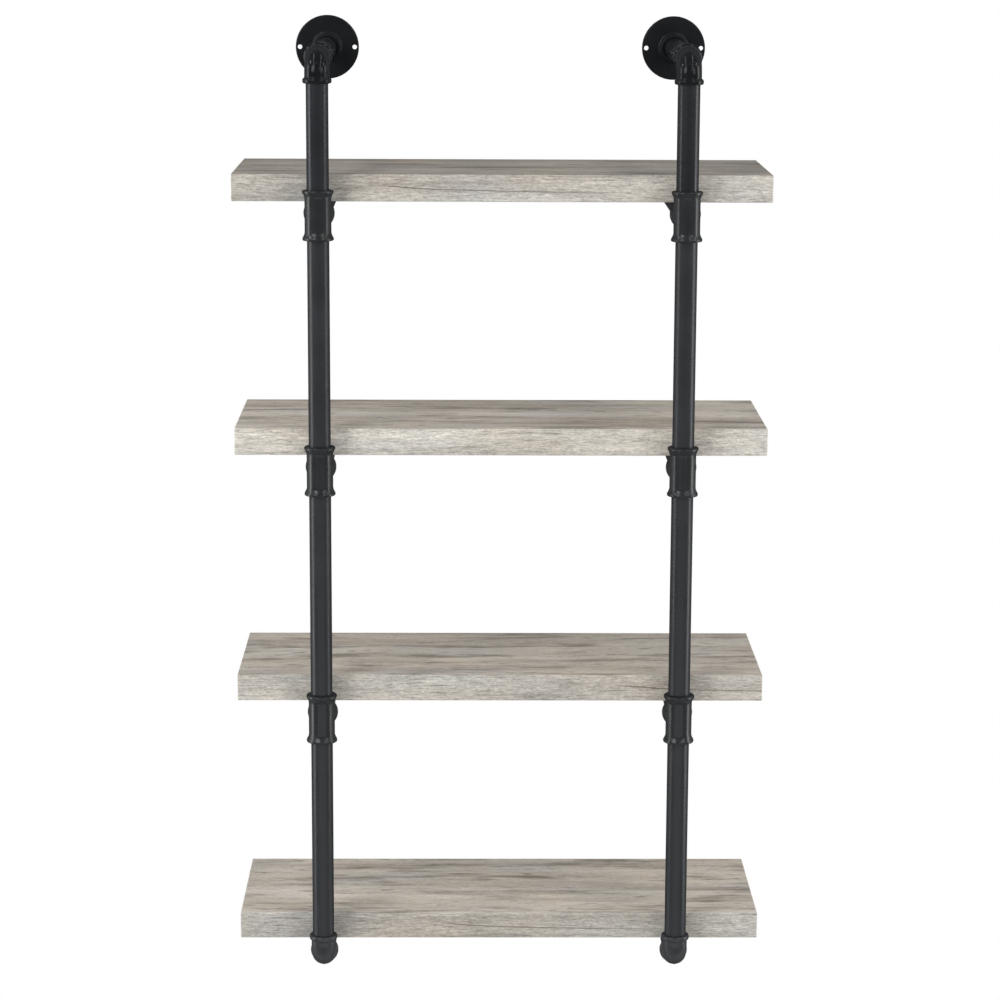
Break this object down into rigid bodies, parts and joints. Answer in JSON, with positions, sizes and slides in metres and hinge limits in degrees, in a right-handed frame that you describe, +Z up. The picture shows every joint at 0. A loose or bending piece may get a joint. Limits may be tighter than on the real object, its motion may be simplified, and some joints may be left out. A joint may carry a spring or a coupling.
{
  "type": "wall shelf",
  "caption": "Wall-hung shelf unit: grey wood-finish boards carried on black pipe uprights with cast tees, elbows and round wall flanges.",
  "frame": {"origin": "on the wall plane, midway between the centres of the two wall flanges", "axes": "+X to the right along the wall as seen from the room, +Y into the wall, +Z up"},
  "size_m": [0.61, 0.2776, 1.0977],
  "materials": {
    "board_finish": "matt grey driftwood",
    "pipe_paint": "satin black paint",
    "cast_fitting": "semi-gloss black paint",
    "grub_steel": "blackened steel",
    "screw_steel": "bright zinc",
    "plug_plastic": "matt black"
  },
  "bodies": {
    "root": {"arm_plug_1_left": "plug_plastic", "arm_plug_1_right": "plug_plastic", "arm_plug_2_left": "plug_plastic", "arm_plug_2_right": "plug_plastic", "arm_plug_3_left": "plug_plastic", "arm_plug_3_right": "plug_plastic", "arm_plug_4_left": "plug_plastic", "arm_plug_4_right": "plug_plastic", "board_1": "board_finish", "board_2": "board_finish", "board_3": "board_finish", "board_4": "board_finish", "board_screws_1": "screw_steel", "board_screws_2": "screw_steel", "board_screws_3": "screw_steel", "board_screws_4": "screw_steel", "bottom_elbow_left": "cast_fitting", "bottom_elbow_right": "cast_fitting", "flange_grub_screw_left": "grub_steel", "flange_grub_screw_right": "grub_steel", "riser_pipe_1_left": "pipe_paint", "riser_pipe_1_right": "pipe_paint", "riser_pipe_2_left": "pipe_paint", "riser_pipe_2_right": "pipe_paint", "riser_pipe_3_left": "pipe_paint", "riser_pipe_3_right": "pipe_paint", "riser_pipe_4_left": "pipe_paint", "riser_pipe_4_right": "pipe_paint", "shelf_arm_1_left": "pipe_paint", "shelf_arm_1_right": "pipe_paint", "shelf_arm_2_left": "pipe_paint", "shelf_arm_2_right": "pipe_paint", "shelf_arm_3_left": "pipe_paint", "shelf_arm_3_right": "pipe_paint", "shelf_arm_4_left": "pipe_paint", "shelf_arm_4_right": "pipe_paint", "tee_1_left": "cast_fitting", "tee_1_right": "cast_fitting", "tee_2_left": "cast_fitting", "tee_2_right": "cast_fitting", "tee_3_left": "cast_fitting", "tee_3_right": "cast_fitting", "top_elbow_left": "cast_fitting", "top_elbow_right": "cast_fitting", "top_nipple_left": "pipe_paint", "top_nipple_right": "pipe_paint", "wall_flange_left": "cast_fitting", "wall_flange_right": "cast_fitting"}
  },
  "joints": []
}
